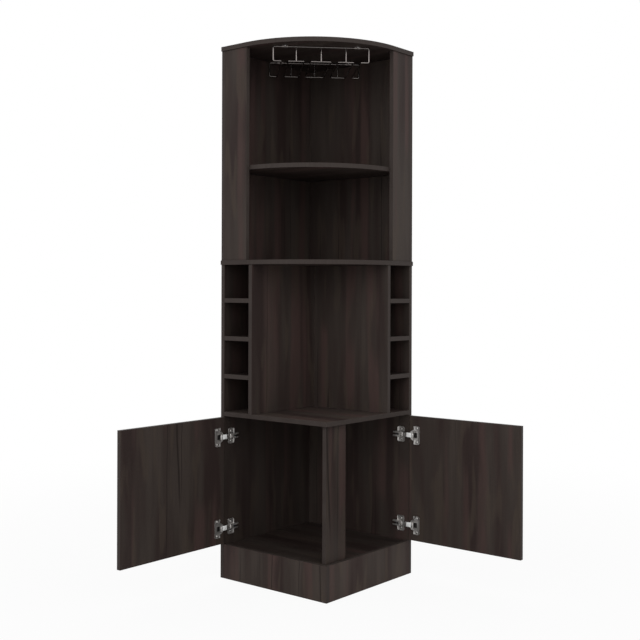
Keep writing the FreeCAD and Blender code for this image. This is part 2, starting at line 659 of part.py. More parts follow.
def bent_wire(name, points, closed=False):
    """A wire of one section that follows straight runs with a round bend at each corner."""
    bend = size("wire_bend")
    corners = range(len(points)) if closed else range(1, len(points) - 1)
    bends = {}
    for number in corners:
        corner = points[number]
        before = corner + (points[number - 1] - corner).normalize() * bend
        after = corner + (points[(number + 1) % len(points)] - corner).normalize() * bend
        centre = before + after - corner
        bends[number] = (before, centre + (corner - centre).normalize() * bend, after)
    runs = len(points) if closed else len(points) - 1
    edges = []
    for number in range(runs):
        following = (number + 1) % len(points)
        start = bends[number][2] if number in bends else points[number]
        end = bends[following][0] if following in bends else points[following]
        edges.append(Part.LineSegment(start, end).toShape())
        if following in bends:
            edges.append(Part.Arc(*bends[following]).toShape())
    path = Part.Wire(edges)
    first = edges[0]
    section = Part.Wire(Part.Circle(first.Vertexes[0].Point, first.tangentAt(first.FirstParameter),
                                    size("wire_radius")).toShape())
    wire = doc.addObject("Part::Feature", name)
    wire.Shape = path.makePipeShell([section], True, False)
    wire.Placement = FreeCAD.Placement(FreeCAD.Vector(), RACK_TURN)
    return wire


def on_diagonal(across, along):
    """A place in plan given across and along the line from the back corner to the front corner."""
    return f"(({across}) + ({along})) * sqrt(1 / 2)", f"(({across}) - ({along})) * sqrt(1 / 2)"


# Stemware rack, square to the line from the back corner to the front corner. Its slots run along that line.
bar_level = size("cabinet_height") - size("board") - size("wire_radius")
loop_level = bar_level - size("rack_drop")
middle_loop = size("middle_loop")
side_loop = size("side_loop")
side_drop = middle_loop / 2 + size("rack_slot") + side_loop / 2
half_rack = side_drop + side_loop / 2 + size("rack_slot") + size("rail_width")
arc_centre = size("board") + size("facing_width")
top_front = arc_centre * (math.sqrt(2) - 1) + size("cabinet_depth") + size("overhang")
reach_front = size("rack_front_setback") - top_front
wall_reach = (size("board") + size("wire_radius")) * math.sqrt(2) + size("rack_wall_gap")
reach_rear = -(half_rack + wall_reach)
turn = size("rack_turn")
rack_bars = {}
for row, reach in (("front", reach_front), ("rear", reach_rear)):
    rack_bars[row] = bent_wire(f"rack_{row}_bar", [
        FreeCAD.Vector(-half_rack, reach, bar_level - turn),
        FreeCAD.Vector(-half_rack, reach, bar_level),
        FreeCAD.Vector(half_rack, reach, bar_level),
        FreeCAD.Vector(half_rack, reach, bar_level - turn)])
rack_loops = {}
for column, middle, width in (("left", -side_drop, side_loop), ("middle", 0, middle_loop),
                              ("right", side_drop, side_loop)):
    rack_loops[column] = bent_wire(f"rack_{column}_loop", [
        FreeCAD.Vector(middle - width / 2, reach_front, loop_level),
        FreeCAD.Vector(middle + width / 2, reach_front, loop_level),
        FreeCAD.Vector(middle + width / 2, reach_rear, loop_level),
        FreeCAD.Vector(middle - width / 2, reach_rear, loop_level)], closed=True)
rack_rails = []
for name, side in (("left", -1), ("right", 1)):
    outer = side * half_rack
    inner = side * (half_rack - size("rail_width"))
    rack_rails.append(bent_wire(f"rack_{name}_rail", [
        FreeCAD.Vector(outer, reach_front, loop_level + turn),
        FreeCAD.Vector(outer, reach_front, loop_level),
        FreeCAD.Vector(inner, reach_front, loop_level),
        FreeCAD.Vector(inner, reach_rear, loop_level),
        FreeCAD.Vector(outer, reach_rear, loop_level),
        FreeCAD.Vector(outer, reach_rear, loop_level + turn)]))
rack_drops = []
for row, along in (("front", RACK_FRONT), ("rear", RACK_REAR)):
    for end, across in (("left", f"-{HALF_RACK}"), ("right", HALF_RACK)):
        x, y = on_diagonal(across, along)
        rack_drops.append(rod(f"rack_{row}_{end}_end", "wire_radius", "rack_drop - 2 * rack_turn",
                              (x, y, f"{LOOP_LEVEL} + rack_turn"), "+z"))
    for column, across in (("left", f"-{SIDE_DROP}"), ("middle", "0"), ("right", SIDE_DROP)):
        x, y = on_diagonal(across, along)
        name = f"rack_{row}_{column}_drop"
        whole = rod(name + "_whole", "wire_radius - drop_thinner", "rack_drop", (x, y, LOOP_LEVEL), "+z")
        rack_drops.append(cut(name, whole, [rack_bars[row], rack_loops[column]]))
nodes["rack_bars"] = group("rack_bars", list(rack_bars.values()))
nodes["rack_loops"] = group("rack_loops", list(rack_loops.values()))
nodes["rack_rails"] = group("rack_rails", rack_rails)
nodes["rack_drops"] = group("rack_drops", rack_drops)

# Saddle clips hold the bars under the top
def on_rack(kind, name, turn, formulas, at):
    """A primitive turned square to the rack, at a place across and along it and at a level."""
    solid = doc.addObject(kind, name)
    solid.Placement = FreeCAD.Placement(FreeCAD.Vector(), RACK_TURN.multiply(TURN[turn]))
    bind(solid, formulas)
    across, along, level = at
    x, y = on_diagonal(across, along)
    place(solid, (x, y, level))
    return solid


rack_screws = []


def rack_clip(name, across, along):
    """A bent strip with a hump under the bar and a screw through each end."""
    under_top = f"{TOP_UNDER} - clip_thickness"
    tab = on_rack("Part::Box", name + "_tab", "+z",
                  {"Length": "clip_length", "Width": "clip_width", "Height": "clip_thickness"},
                  (f"{across} - clip_length / 2", f"{along} + clip_width / 2", under_top))
    hump = on_rack("Part::Cylinder", name + "_hump", "+x",
                   {"Radius": "wire_radius + clip_thickness", "Height": "clip_length"},
                   (f"{across} - clip_length / 2", along, BAR_LEVEL))
    saddle = on_rack("Part::Cylinder", name + "_saddle", "+x",
                     {"Radius": "wire_radius + fit_clearance", "Height": "2 * clip_length"},
                     (f"{across} - clip_length", along, BAR_LEVEL))
    channel = on_rack("Part::Box", name + "_channel", "+z",
                      {"Length": "2 * clip_length", "Width": "2 * wire_radius", "Height": "board"},
                      (f"{across} - clip_length", f"{along} + wire_radius", BAR_LEVEL))
    above = block(name + "_above", ("0", "-cabinet_depth", TOP_UNDER),
                  ("cabinet_depth", "cabinet_depth", "board"))
    holes = []
    for end, offset in (("inner", "- clip_screw_spacing / 2"), ("outer", "+ clip_screw_spacing / 2")):
        x, y = on_diagonal(across, f"{along} {offset}")
        fastener, hole = screw(f"{name}_{end}_screw", "wood_screw", (x, y, under_top), "+z")
        rack_screws.append(fastener)
        holes.append(hole)
    bores["top_panel"].extend(holes)
    return cut(name, joined(name + "_whole", [tab, hump]), [saddle, channel, above] + holes)


rack_clips = []
for row, along in (("front", RACK_FRONT), ("rear", RACK_REAR)):
    for side, across in (("left", f"-{OUTER_SLOT}"), ("right", OUTER_SLOT)):
        rack_clips.append(rack_clip(f"rack_{row}_{side}_clip", across, along))
nodes["rack_clips"] = group("rack_clips", rack_clips)
nodes["rack_screws"] = group("rack_screws", rack_screws)

# Boards with their holes
for name, body in boards.items():
    nodes[name] = cut(name, body, [group(name + "_bores", bores[name])]) if bores[name] else body

for name, solid in nodes.items():
    solid.Label = name
doc.recompute()

failed = [thing.Label for thing in doc.Objects if {"Invalid", "Error"} & set(thing.State)]
failed += [name for name, solid in nodes.items() if solid.Shape.isNull() or not solid.Shape.isValid()]
if failed:
    raise RuntimeError("not built: " + ", ".join(failed))

os.makedirs("parts", exist_ok=True)
for name, solid in nodes.items():
    solid.Shape.exportStep(f"parts/{name}.step")
    print(f"{name}: {len(solid.Shape.Solids)} solids, {solid.Shape.Volume / 1000:.2f} cm3")
print(f"{len(nodes)} nodes")
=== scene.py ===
# %% [markdown]
# # A corner bar cabinet in dark laminate
# The cabinet stands in a room corner. From the floor up it has a plinth, a cupboard with two open doors,
# a counter with a column of cubbies on each side, shelves with rounded fronts, and a wire rack under the top.
# The boards, the hinges and the rack come from the construction model, already at their real places.
# This lesson gives them their finishes, redraws the hinges as pressed sheet metal, and sets up the camera
# and the light.

# %% Load the construction model
import json
import math

import bmesh
import bpy
from mathutils import Euler, Matrix, Vector


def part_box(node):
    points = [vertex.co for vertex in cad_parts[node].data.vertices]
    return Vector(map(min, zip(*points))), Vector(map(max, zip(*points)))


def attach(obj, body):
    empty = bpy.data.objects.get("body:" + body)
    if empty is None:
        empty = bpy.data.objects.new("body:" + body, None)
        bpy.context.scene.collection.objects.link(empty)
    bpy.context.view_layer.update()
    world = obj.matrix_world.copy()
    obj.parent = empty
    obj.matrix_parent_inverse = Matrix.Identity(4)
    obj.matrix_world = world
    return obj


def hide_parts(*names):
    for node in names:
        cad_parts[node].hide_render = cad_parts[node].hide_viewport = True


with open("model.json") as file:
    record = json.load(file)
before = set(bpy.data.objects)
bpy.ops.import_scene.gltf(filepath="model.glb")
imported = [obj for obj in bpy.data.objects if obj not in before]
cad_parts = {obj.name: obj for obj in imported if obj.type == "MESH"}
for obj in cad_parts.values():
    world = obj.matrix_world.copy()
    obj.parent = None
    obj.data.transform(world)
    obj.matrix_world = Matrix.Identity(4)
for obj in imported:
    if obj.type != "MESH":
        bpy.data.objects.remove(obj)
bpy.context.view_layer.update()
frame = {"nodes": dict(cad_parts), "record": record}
bpy.context.scene.view_settings.view_transform = "Standard"

# %% [markdown]
# ## The camera
# A product picture of tall furniture is taken with a level camera, so that upright edges stay upright.
# Tilting the camera would make them lean together. A lens shift moves the picture instead, as a view
# camera does, and here it lowers the frame by a few hundredths of its width.

# %% Camera
SENSOR_WIDTH = 36.0
FRAME_PIXELS = 640
LENS_PIXELS = 1035.86
HORIZON_PIXELS = -28.19
EYE = Vector((2.4956, -2.9657, 0.9708))
EYE_TURN = 0.68918
EYE_ROLL = 0.00311
QUARTER_TURN = math.pi / 2

camera_data = bpy.data.cameras.new("camera")
camera_data.sensor_width = SENSOR_WIDTH
camera_data.lens = SENSOR_WIDTH * LENS_PIXELS / FRAME_PIXELS
camera_data.shift_y = HORIZON_PIXELS / FRAME_PIXELS
camera = bpy.data.objects.new("camera", camera_data)
camera.matrix_world = (
    Matrix.Translation(EYE)
    @ Euler((QUARTER_TURN, 0.0, EYE_TURN)).to_matrix().to_4x4()
    @ Matrix.Rotation(EYE_ROLL, 4, "Z")
)
bpy.context.scene.collection.objects.link(camera)
bpy.context.scene.camera = camera
print(f"camera with a {camera_data.lens:.1f} mm lens, {EYE.length:.2f} m from the back corner")

# %% [markdown]
# ## Helpers for finishes
# Each finish below is a small network of nodes. It could be wired up by hand in the shader editor, but a
# script gives the same network every time. One helper adds a node, sets its options, and either links a
# socket or gives it a plain value, so that a network reads as a list of steps. The mix node keeps sockets
# for every kind of data, so the numbers of its colour sockets are named first.

# %% Node helpers
MIX_SHARE = 0
MIX_FIRST = 6
MIX_SECOND = 7
MIX_RESULT = 2


def add_node(tree, kind, sockets=None, **options):
    """Adds a node, sets its options, and links or fills its sockets."""
    made = tree.nodes.new(kind)
    for option, value in options.items():
        setattr(made, option, value)
    for socket, value in (sockets or {}).items():
        if isinstance(value, bpy.types.NodeSocket):
            tree.links.new(value, made.inputs[socket])
        else:
            made.inputs[socket].default_value = value
    return made


def mix_colour(tree, first, second, share, blend="MIX"):
    """A mix of two colours by a share; each is a socket or a plain value."""
    sockets = {MIX_SHARE: share, MIX_FIRST: first, MIX_SECOND: second}
    mix = add_node(tree, "ShaderNodeMix", sockets, data_type="RGBA", blend_type=blend)
    return mix.outputs[MIX_RESULT]


def colour_ramp(tree, share, stops):
    """A ramp through coloured stops."""
    ramp = add_node(tree, "ShaderNodeValToRGB", {"Fac": share})
    elements = ramp.color_ramp.elements
    while len(elements) < len(stops):
        elements.new(1.0)
    for element, (position, colour) in zip(elements, stops):
        element.position = position
        element.color = (*colour, 1.0)
    return ramp.outputs["Color"]


print("node helpers ready")

# %% [markdown]
# A finish starts from an empty material with one shader. Real surfaces vary a little in gloss and in height.
# Each finish could spell that out for itself, but laminate and metal need the same steps, so two helpers
# take them up: one spreads a noise over a range of roughness, and one links colour, roughness and bump.

# %% Surface helpers
NOISE_LOW = 0.3
NOISE_HIGH = 0.7


def empty_material(name):
    """A material with no nodes yet; returns the material and its tree."""
    material = bpy.data.materials.new(name)
    material.use_nodes = True
    tree = material.node_tree
    tree.nodes.clear()
    return material, tree


def new_finish(name):
    """A material with a shader on its output; returns the material, its tree and the shader."""
    material, tree = empty_material(name)
    shader = add_node(tree, "ShaderNodeBsdfPrincipled")
    add_node(tree, "ShaderNodeOutputMaterial", {"Surface": shader.outputs["BSDF"]})
    return material, tree, shader


def spread(tree, noise, at_low, at_high):
    """A noise, taken from its usual range to another one."""
    taken = add_node(tree, "ShaderNodeMapRange", {
        "Value": noise, "From Min": NOISE_LOW, "From Max": NOISE_HIGH, "To Min": at_low, "To Max": at_high})
    return taken.outputs["Result"]


def cover(tree, shader, colour, roughness, height, strength, depth):
    """Gives a shader its colour, its roughness and a bump that follows a height."""
    bump = add_node(tree, "ShaderNodeBump", {"Strength": strength, "Distance": depth, "Height": height})
    tree.links.new(colour, shader.inputs["Base Color"])
    tree.links.new(roughness, shader.inputs["Roughness"])
    tree.links.new(bump.outputs["Normal"], shader.inputs["Normal"])


print("surface helpers ready")

# %% [markdown]
# ## Dark wood-grain laminate
# The boards are chipboard with a printed wood-grain foil. A photograph of wood would need an image file, so
# the print is built from noise that is stretched a long way along the grain. The noise is flat, like the
# foil: it is laid on a board by two of the board's axes, one across the grain and one along it. A slow
# sway pushes the print a little sideways, because no line of real grain is quite straight.

# %% Grain helpers
NOISE_ROUGHNESS = 0.55
SWAY = dict(stretch=0.30, scale=9.0, detail=3.0)
SWAY_WIDTH = 0.014


def flat_place(tree, point, across, grain, shift):
    """The place on a board's sheet of print: X runs across the grain and Y along it."""
    parts = add_node(tree, "ShaderNodeSeparateXYZ", {"Vector": point})
    flat = add_node(tree, "ShaderNodeCombineXYZ", {"X": parts.outputs[across], "Y": parts.outputs[grain]})
    cut = add_node(tree, "ShaderNodeMapping", {"Vector": flat.outputs["Vector"], "Location": shift})
    return cut.outputs["Vector"]


def drawn_out(tree, place, stretch):
    """The place, with shorter steps along the grain, so that a pattern put there is drawn out."""
    drawn = add_node(tree, "ShaderNodeMapping", {"Vector": place, "Scale": (1.0, stretch, 1.0)})
    return drawn.outputs["Vector"]


def grain_noise(tree, place, stretch, scale, detail):
    """Noise drawn out along the grain."""
    noise = add_node(tree, "ShaderNodeTexNoise", {
        "Vector": drawn_out(tree, place, stretch), "Scale": scale, "Detail": detail,
        "Roughness": NOISE_ROUGHNESS}, noise_dimensions="2D")
    return noise.outputs["Fac"]


def wandering(tree, place):
    """The place, pushed a little sideways by slow noise."""
    sideways = add_node(tree, "ShaderNodeVectorMath", {
        0: grain_noise(tree, place, **SWAY), 1: (SWAY_WIDTH, 0.0, 0.0)}, operation="MULTIPLY")
    swayed = add_node(tree, "ShaderNodeVectorMath", {
        0: place, 1: sideways.outputs["Vector"]}, operation="ADD")
    return swayed.outputs["Vector"]


print("grain helpers ready")

# %% [markdown]
# ### The marks of the print
# Salmon streaks with soft borders run along the foil, with shorter tan ones, and now and then a dark
# hairline. They could be painted on every board by hand. Here a streak is a slice of a noise of its own: at
# one level of the noise there is no mark, at another it is full, and between them it fades. The hairlines
# are the borders between very long cells, kept only in places.

# %% Marks
HAIRLINE_STRETCH = 0.016
HAIRLINE_CELLS = 11.0
HAIRLINE_BORDER = dict(none_at=0.018, full_at=0.006)
HAIRLINE_PLACES = dict(none_at=0.53, full_at=0.62, most=0.7, stretch=0.15, scale=6.0, detail=1.0)


def marked(tree, value, none_at, full_at, most=1.0):
    """A soft step: nothing at one level of a value, and the most at another."""
    step = add_node(tree, "ShaderNodeMapRange", {
        "Value": value, "From Min": none_at, "From Max": full_at, "To Min": 0.0, "To Max": most},
        interpolation_type="SMOOTHSTEP")
    return step.outputs["Result"]


def streaks(tree, place, none_at, full_at, most=1.0, **grain):
    """One kind of mark: a soft slice of a noise drawn out along the grain."""
    return marked(tree, grain_noise(tree, place, **grain), none_at, full_at, most)


def both(tree, first, second):
    """The product of two shares."""
    product = add_node(tree, "ShaderNodeMath", {0: first, 1: second}, operation="MULTIPLY")
    return product.outputs["Value"]


def hairlines(tree, place):
    """Thin dark lines: the borders between very long cells, kept only here and there."""
    cells = add_node(tree, "ShaderNodeTexVoronoi", {
        "Vector": drawn_out(tree, place, HAIRLINE_STRETCH), "Scale": HAIRLINE_CELLS},
        feature="DISTANCE_TO_EDGE", voronoi_dimensions="2D")
    border = marked(tree, cells.outputs["Distance"], **HAIRLINE_BORDER)
    return both(tree, border, streaks(tree, place, **HAIRLINE_PLACES))


print("streaks and hairlines ready")

# %% [markdown]
# ### The colours of the print
# The ground of the print is a nearly black brown that drifts between reddish brown and lighter grey-brown
# fields a few centimetres wide. One brown all over would look like paint, so a ramp gives the fields their
# tones. The streaks are mixed in over it, then the hairlines, and fine fibres lighten and darken all of it
# a little.

# %% Printed face
FIELD_TONES = [
    (0.36, (0.0254, 0.0168, 0.0152)),
    (0.46, (0.0316, 0.0225, 0.0198)),
    (0.54, (0.0336, 0.0256, 0.0222)),
    (0.66, (0.0410, 0.0318, 0.0274)),
]
FIBRE_TONES = [(0.30, (0.92, 0.92, 0.92)), (0.70, (1.07, 1.065, 1.06))]
SALMON = (0.0525, 0.0322, 0.0290)
TAN = (0.0480, 0.0362, 0.0285)
HAIRLINE = (0.0120, 0.0085, 0.0075)
FIELDS = dict(stretch=0.10, scale=13.0, detail=2.0)
SALMON_STREAKS = dict(none_at=0.50, full_at=0.70, stretch=0.03, scale=20.0, detail=1.5)
SALMON_LENGTHS = dict(none_at=0.34, full_at=0.56, most=0.80, stretch=0.35, scale=8.0, detail=1.0)
TAN_STREAKS = dict(none_at=0.57, full_at=0.70, most=0.55, stretch=0.14, scale=25.0, detail=1.5)


def toned(colour, tone):
    """A colour of the print, lighter or darker by one factor."""
    return tuple(channel * tone for channel in colour)


def printed_face(tree, place, fibres, tone):
    """The colour of the printed foil: fields, then salmon and tan streaks, then hairlines and fibres."""
    # A tone above 1 lightens the whole print as painted light, and a tone below 1 darkens it as painted
    # shade.
    field_tones = [(stop, toned(field, tone)) for stop, field in FIELD_TONES]
    colour = colour_ramp(tree, grain_noise(tree, place, **FIELDS), field_tones)
    salmon = both(tree, streaks(tree, place, **SALMON_STREAKS), streaks(tree, place, **SALMON_LENGTHS))
    colour = mix_colour(tree, colour, (*toned(SALMON, tone), 1.0), salmon)
    colour = mix_colour(tree, colour, (*toned(TAN, tone), 1.0), streaks(tree, place, **TAN_STREAKS))
    colour = mix_colour(tree, colour, (*HAIRLINE, 1.0), hairlines(tree, place))
    return mix_colour(tree, colour, colour_ramp(tree, fibres, FIBRE_TONES), 1.0, "MULTIPLY")


print(f"print with {len(FIELD_TONES)} field tones ready")

# %% [markdown]
# ### Foil and edge bands
# The foil has a low sheen, and its fibres and pores stand out a little under a finger. The edge bands are
# cut from a plainer strip. They could be pieces of their own, but they are very thin, so the finish tells
# the edge of a board from its face by the normal instead.

# %% Laminate finish
EDGE_TONES = [(0.35, (0.0350, 0.0272, 0.0242)), (0.65, (0.0415, 0.0328, 0.0295))]
FIBRES = dict(stretch=0.02, scale=380.0, detail=3.0)
PORES = dict(stretch=0.035, scale=1400.0, detail=1.0)
ON_FACE = dict(none_at=0.55, full_at=0.80)
LAMINATE_SMOOTH = 0.46
LAMINATE_ROUGH = 0.60
LAMINATE_BUMP = 0.25
LAMINATE_RELIEF = 0.0004
LAMINATE_GLOSS = 0.10


def dark_laminate(name, across, grain, thickness, shift, tone):
    """Laminate on a board: the axes across its grain, along it and through it, and its cut of the print."""
    material, tree, shader = new_finish(name)
    where = add_node(tree, "ShaderNodeTexCoord")
    place = wandering(tree, flat_place(tree, where.outputs["Object"], across, grain, shift))
    fibres = grain_noise(tree, place, **FIBRES)
    pores = grain_noise(tree, place, **PORES)

    facing = add_node(tree, "ShaderNodeSeparateXYZ", {"Vector": where.outputs["Normal"]})
    level = add_node(tree, "ShaderNodeMath", {0: facing.outputs[thickness]}, operation="ABSOLUTE")
    on_face = marked(tree, level.outputs["Value"], **ON_FACE)
    edge = colour_ramp(tree, fibres, EDGE_TONES)
    colour = mix_colour(tree, edge, printed_face(tree, place, fibres, tone), on_face)

    sheen = spread(tree, fibres, LAMINATE_SMOOTH, LAMINATE_ROUGH)
    relief = add_node(tree, "ShaderNodeMath", {0: fibres, 1: pores}, operation="ADD")
    cover(tree, shader, colour, sheen, relief.outputs["Value"], LAMINATE_BUMP, LAMINATE_RELIEF)
    shader.inputs["Specular IOR Level"].default_value = LAMINATE_GLOSS
    return material


print("laminate ready")

# %% [markdown]
# ### Cutting the boards
# The grain runs up every upright board and along the longer side of every flat one. It could be set by hand
# for each board, but the thinnest way through a board is its thickness, so its box is enough to tell. Every
# board is cut from another part of the print, or the same streaks would show up again and again. Some boards
# are made lighter or darker than the rest: painted light on the plinth, the right facing and the right door,
# and painted shade in the cubbies, on the lower walls, the bottom panel and the corner post.

# %% Boards
SIDES = ("left", "right")
CUBBY_SHELVES = (1, 2, 3)
# The cubby shelves are darker as painted shade, for the shade inside the cubbies.
CUBBY_SHADE_TONE = 0.55
# Tones above 1 are painted light, and tones below 1 are painted shade.
LIGHT_AND_SHADE_TONES = {
    "plinth_left_board": 1.22, "plinth_right_board": 1.48, "right_facing": 1.06, "right_door": 1.05,
    "lower_left_wall": 0.76, "lower_right_wall": 0.95, "bottom_panel": 0.70, "corner_post": 0.92,
}
for side in SIDES:
    for shelf in CUBBY_SHELVES:
        LIGHT_AND_SHADE_TONES[f"{side}_cubby_shelf_{shelf}"] = CUBBY_SHADE_TONE
CUT_STEP = (0.731, 1.137, 0.0)


def dress(node, material):
    """Puts one finish on every face of a construction piece."""
    slots = frame["nodes"][node].data.materials
    slots.clear()
    slots.append(material)


def board_axes(low, high):
    """The axes across a board's grain, along it and through the board."""
    extent = dict(zip("XYZ", high - low))
    thickness = min(extent, key=extent.get)
    grain = max("XY", key=extent.get) if thickness == "Z" else "Z"
    across = next(axis for axis in extent if axis not in (grain, thickness))
    return across, grain, thickness


slot_of = {part["node"]: part["material_slot"] for part in frame["record"]["subparts"]}
board_names = sorted(name for name, slot in slot_of.items() if slot == "dark_board")
for number, name in enumerate(board_names):
    low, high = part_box(name)
    shift = tuple(number * step for step in CUT_STEP)
    # The tone from the table above gives a board its painted light or its painted shade.
    tone = LIGHT_AND_SHADE_TONES.get(name, 1.0)
    dress(name, dark_laminate(f"laminate_{name}", *board_axes(low, high), shift, tone))
print(f"{len(board_names)} boards in dark laminate, grain upright on all but the flat ones")

# %% [markdown]
# ## Plated metal
# All the metal on the cabinet is steel, most of it plated; the dark tone of the adjusting screws and of the
# cups is painted shade. One finish could serve for every piece, but what tells one plate from another is its
# tone and how sharp its reflections are, so each gets its own. No plate is quite even, so a fine noise moves
# the tone, the roughness and the height a little.

# %% Metal finish
SPECK_DETAIL = 4.0
SPECK_ROUGHNESS = 0.6
DULL_AT = 0.35
BRIGHT_AT = 0.65
PLATE_BUMP = 0.03
PLATE_RELIEF = 0.0002


def plated_metal(name, bright, dull, smooth, rough, scale, metal=1.0):
    """A plate between a bright and a dull tone, and between a smooth and a rough gloss."""
    material, tree, shader = new_finish(name)
    where = add_node(tree, "ShaderNodeTexCoord")
    noise = add_node(tree, "ShaderNodeTexNoise", {
        "Vector": where.outputs["Object"], "Scale": scale, "Detail": SPECK_DETAIL,
        "Roughness": SPECK_ROUGHNESS})
    speck = noise.outputs["Fac"]
    tone = colour_ramp(tree, speck, [(DULL_AT, dull), (BRIGHT_AT, bright)])
    cover(tree, shader, tone, spread(tree, speck, rough, smooth), speck, PLATE_BUMP, PLATE_RELIEF)
    shader.inputs["Metallic"].default_value = metal
    return material


print("plated metal ready")

# %% [markdown]
# ### The plates
# The hinges are nickel plated with a satin face, and part of each link is brighter. The screws are zinc
# plated and the rack is chrome plated wire. The adjusting screws on the hinge arms and the hinge cups are
# dark as painted shade. Full metal everywhere would be simplest. But a metal face shows only what it mirrors,
# which here is often a dark board, so the nickel is not quite full metal, the cups are less so, and the
# bright link hardly is.

# %% Metals on the fittings
metals = {
    "nickel_hinge": plated_metal(
        "satin_nickel", bright=(0.60, 0.58, 0.56), dull=(0.56, 0.54, 0.52),
        smooth=0.27, rough=0.32, scale=900.0, metal=0.90),
    "bright_link": plated_metal(
        "bright_link", bright=(0.88, 0.88, 0.87), dull=(0.82, 0.82, 0.81),
        smooth=0.30, rough=0.42, scale=700.0, metal=0.15),
    "zinc_screw": plated_metal(
        "zinc_plate", bright=(0.86, 0.86, 0.85), dull=(0.76, 0.76, 0.75),
        smooth=0.16, rough=0.26, scale=800.0),
    "rack_wire": plated_metal(
        "chrome_plate", bright=(0.235, 0.212, 0.202), dull=(0.185, 0.165, 0.157),
        smooth=0.14, rough=0.24, scale=260.0),
}
# Painted shade: the adjusting screws on the arms are made dark for the shade around them.
shade_painted = plated_metal(
    "shade_painted_steel", bright=(0.050, 0.050, 0.052), dull=(0.035, 0.035, 0.037),
    smooth=0.30, rough=0.45, scale=800.0)
# Painted shade: the cups are made dark for the shade inside them, seen through the window of the flange.
painted_shade_cup = plated_metal(
    "painted_shade_cup", bright=(0.12, 0.11, 0.10), dull=(0.09, 0.08, 0.08),
    smooth=0.35, rough=0.50, scale=800.0, metal=0.6)

for name, slot in slot_of.items():
    if slot in metals:
        dress(name, metals[slot])
# The dark steel on the adjusting screws is painted shade.
for side in SIDES:
    dress(f"{side}_arm_screws", shade_painted)
print(f"{len(metals)} plated metals, and blackened adjusting screws on the hinge arms")

# %% [markdown]
# ## Beech dowels
# The dowels that line up the boards are turned from beech, which is pale, with short dark flecks along
# its grain. Growth rings could be added, but the dowels sit inside the boards, so a plain stretched noise
# is enough.

# %% Dowel finish
BEECH_FLECKS = dict(stretch=0.2, scale=700.0, detail=3.0)
BEECH_TONES = [(0.35, (0.36, 0.22, 0.12)), (0.60, (0.58, 0.41, 0.25))]
BEECH_ROUGHNESS = 0.6


def beech_wood():
    """Pale beech with short flecks."""
    material, tree, shader = new_finish("turned_beech")
    where = add_node(tree, "ShaderNodeTexCoord")
    flecks = grain_noise(tree, where.outputs["Object"], **BEECH_FLECKS)
    tree.links.new(colour_ramp(tree, flecks, BEECH_TONES), shader.inputs["Base Color"])
    shader.inputs["Roughness"].default_value = BEECH_ROUGHNESS
    return material


beech = beech_wood()
for name in ("panel_dowels", "stacking_dowels"):
    dress(name, beech)
print("dowels in beech")

# %% [markdown]
# ## Concealed hinges
# Each door hangs on two cup hinges. On the door a pressed flange with two screw lobes carries the cup, which
# is sunk in the board. A link leads from the pin in the cup into a channel-shaped arm, and the arm is screwed
# to a plate on the cabinet wall. The construction model has their sizes but no pressed rims and no rounded
# folds, so new pieces stand in for its solids. Each could be drawn where it sits, but then every piece would
# be written twice. Instead all four hinges are drawn in the same three directions, along the door, out of it
# and up, and then turned to their side.

# %% Hinge directions
MM = 0.001
ALONG = Vector((1.0, 0.0, 0.0))
OUT = Vector((0.0, 1.0, 0.0))
UP = Vector((0.0, 0.0, 1.0))
HINGES = [(side, level) for side in SIDES for level in ("upper", "lower")]
HINGE_AXES = {
    "left": Matrix(((0, 1, 0), (1, 0, 0), (0, 0, 1))),
    "right": Matrix(((-1, 0, 0), (0, -1, 0), (0, 0, 1))),
}


def hinge_box(side, node):
    """The low and the high corner of a hinge piece: along the door, out of it, and up."""
    corners = [HINGE_AXES[side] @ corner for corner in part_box(node)]
    return [Vector([pick(pair) for pair in zip(*corners)]) for pick in (min, max)]


print(f"{len(HINGES)} hinges to draw")

# %% [markdown]
# ### Cutting sheet metal
# Sheet metal could be drawn face by face. Here it is made as a press makes it: a flat sheet is cut, its
# corners are rounded, it is dished or bent, and it gets its thickness last. The first helpers lay out a
# sheet, score lines into it, stamp parts of it out and round its corners.

# %% Cutting helpers
CORNER_STEPS = 6


def flat_sheet(along, up, out):
    """A flat sheet over a stretch along the door and a stretch up it, at one distance out."""
    shape = bmesh.new()
    middle = Vector((sum(along) / 2, out, sum(up) / 2))
    half_length = (along[1] - along[0]) / 2
    half_height = (up[1] - up[0]) / 2
    laid = Matrix.Translation(middle) @ Matrix.Rotation(QUARTER_TURN, 4, "X")
    laid = laid @ Matrix.Diagonal((half_length, half_height, 1.0, 1.0))
    bmesh.ops.create_grid(shape, x_segments=1, y_segments=1, size=1.0, matrix=laid)
    return shape


def score(shape, axis, places, where=lambda centre: True):
    """Cuts edges into the faces that pass a test, at places along an axis."""
    for place in places:
        faces = [face for face in shape.faces if where(face.calc_center_median())]
        edges = {edge for face in faces for edge in face.edges}
        corners = {corner for face in faces for corner in face.verts}
        bmesh.ops.bisect_plane(
            shape, geom=[*faces, *edges, *corners], plane_co=axis * place, plane_no=axis)


def stamp_out(shape, where):
    """Removes the faces whose centre passes a test."""
    faces = [face for face in shape.faces if where(face.calc_center_median())]
    bmesh.ops.delete(shape, geom=faces, context="FACES")


def round_corners(shape, radius, where):
    """Rounds the corners of a sheet that pass a test."""
    corners = [corner for corner in shape.verts if where(corner.co)]
    bmesh.ops.bevel(
        shape, geom=corners, offset=radius, segments=CORNER_STEPS, profile=0.5, affect="VERTICES",
        material=-1)


print("cutting helpers ready")

# %% [markdown]
# ### Pressing and bending
# A pressed rim could be built as a frame of its own. It is simpler to inset the whole sheet and push its
# middle down, which leaves the border standing. A lip is bent up from a fold line. The thickness goes to the
# side away from the viewer, so that the face that is seen stays where it was drawn. Sharp edges are broken
# last, because a real edge shows a thin line of light.

# %% Pressing helpers
SHARP_ANGLE = math.radians(50)
EDGE_STEPS = 2


